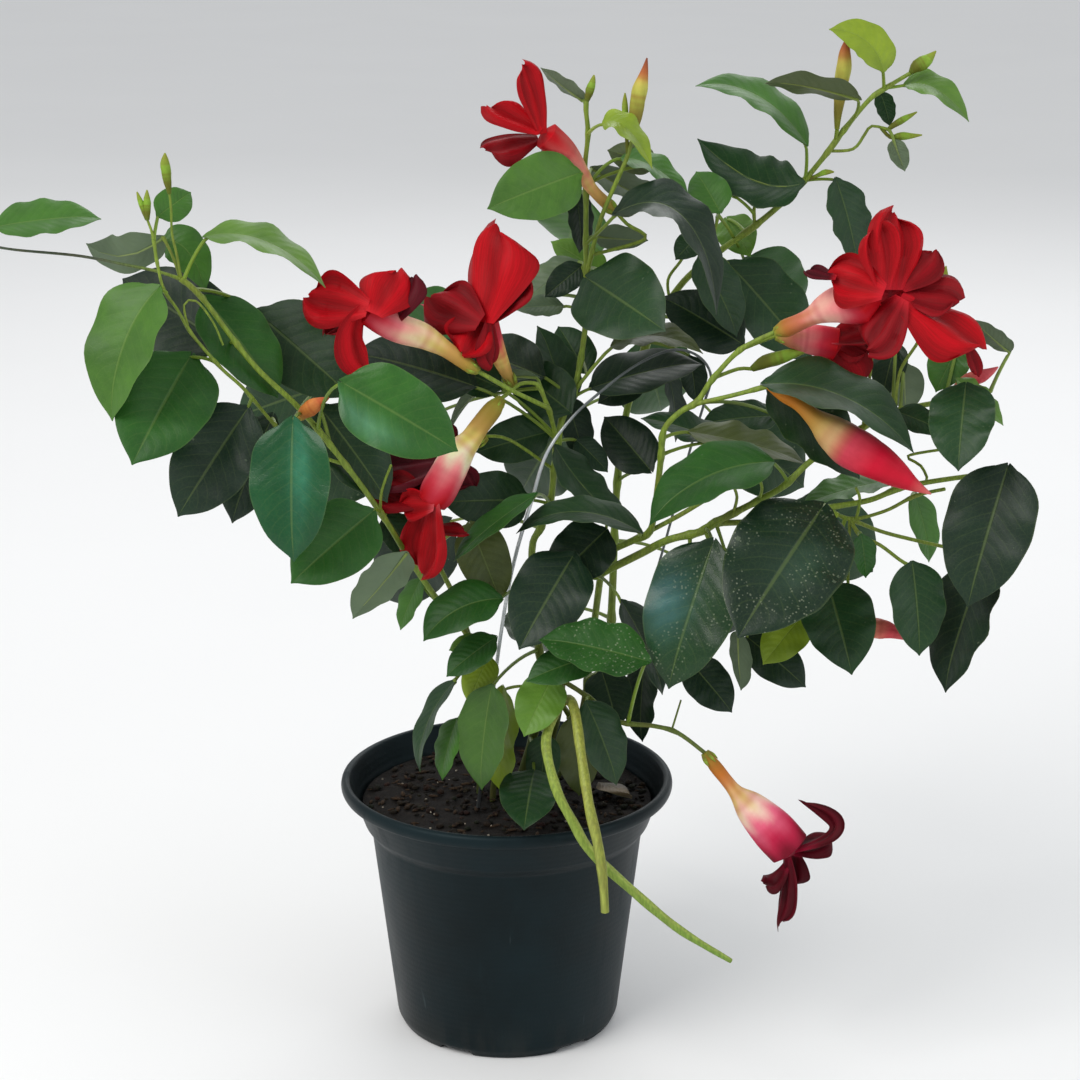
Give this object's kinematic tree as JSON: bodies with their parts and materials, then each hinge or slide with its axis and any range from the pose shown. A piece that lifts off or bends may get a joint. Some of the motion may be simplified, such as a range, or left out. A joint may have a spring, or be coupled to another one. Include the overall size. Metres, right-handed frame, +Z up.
{
  "type": "potted flowering climbing vine",
  "caption": "Potted climbing vine with red trumpet flowers, buds, hanging seed pods and dark oval leaves on twining stems, over soil in a dark round nursery pot with a wire hoop.",
  "frame": {"origin": "centre of the pot's flat foot, on the surface it stands on", "axes": "+Z up along the pot's axis, +X to the right and -Y towards the viewer of the plant's flowering side"},
  "size_m": [0.4789, 0.2632, 0.5113],
  "materials": {
    "pot": "satin black moulded plastic",
    "soil": "damp peaty potting soil with pale grains",
    "wire": "pale coated wire",
    "stem": "green stems, browner low down",
    "leaf": "glossy green leaf",
    "petal": "velvety red petal",
    "bud": "smooth yellow-green bud",
    "pod": "smooth green pod",
    "dry": "dry brown leaf"
  },
  "bodies": {
    "root": {"bud_orange": "bud", "bud_pink": "bud", "bud_top": "bud", "bud_top_right": "bud", "flower_behind": "petal", "flower_left": "petal", "flower_low_left": "petal", "flower_low_left_back": "petal", "flower_low_right": "petal", "flower_middle": "petal", "flower_right": "petal", "flower_top": "petal", "leaf_dry": "dry", "leaf_left_01": "leaf", "leaf_left_02": "leaf", "leaf_left_03": "leaf", "leaf_left_04": "leaf", "leaf_left_05": "leaf", "leaf_left_06": "leaf", "leaf_left_07": "leaf", "leaf_left_08": "leaf", "leaf_left_09": "leaf", "leaf_low_01": "leaf", "leaf_low_02": "leaf", "leaf_low_03": "leaf", "leaf_low_04": "leaf", "leaf_low_05": "leaf", "leaf_low_06": "leaf", "leaf_low_07": "leaf", "leaf_low_08": "leaf", "leaf_right_01": "leaf", "leaf_right_02": "leaf", "leaf_right_03": "leaf", "leaf_right_04": "leaf", "leaf_right_05": "leaf", "leaf_right_06": "leaf", "leaf_right_07": "leaf", "leaf_right_08": "leaf", "leaf_right_09": "leaf", "leaf_right_10": "leaf", "leaf_top_01": "leaf", "leaf_top_02": "leaf", "leaf_top_03": "leaf", "leaf_top_04": "leaf", "leaf_upper_01": "leaf", "leaf_upper_02": "leaf", "leaf_upper_03": "leaf", "leaf_upper_04": "leaf", "leaf_upper_05": "leaf", "pot": "pot", "seed_pods": "pod", "soil": "soil", "stem_center": "stem", "stem_flowering": "stem", "stem_left": "stem", "stem_left_low": "stem", "stem_low_right": "stem", "stem_right": "stem", "stem_upper_right": "stem", "wire_hoop": "wire"}
  },
  "joints": []
}
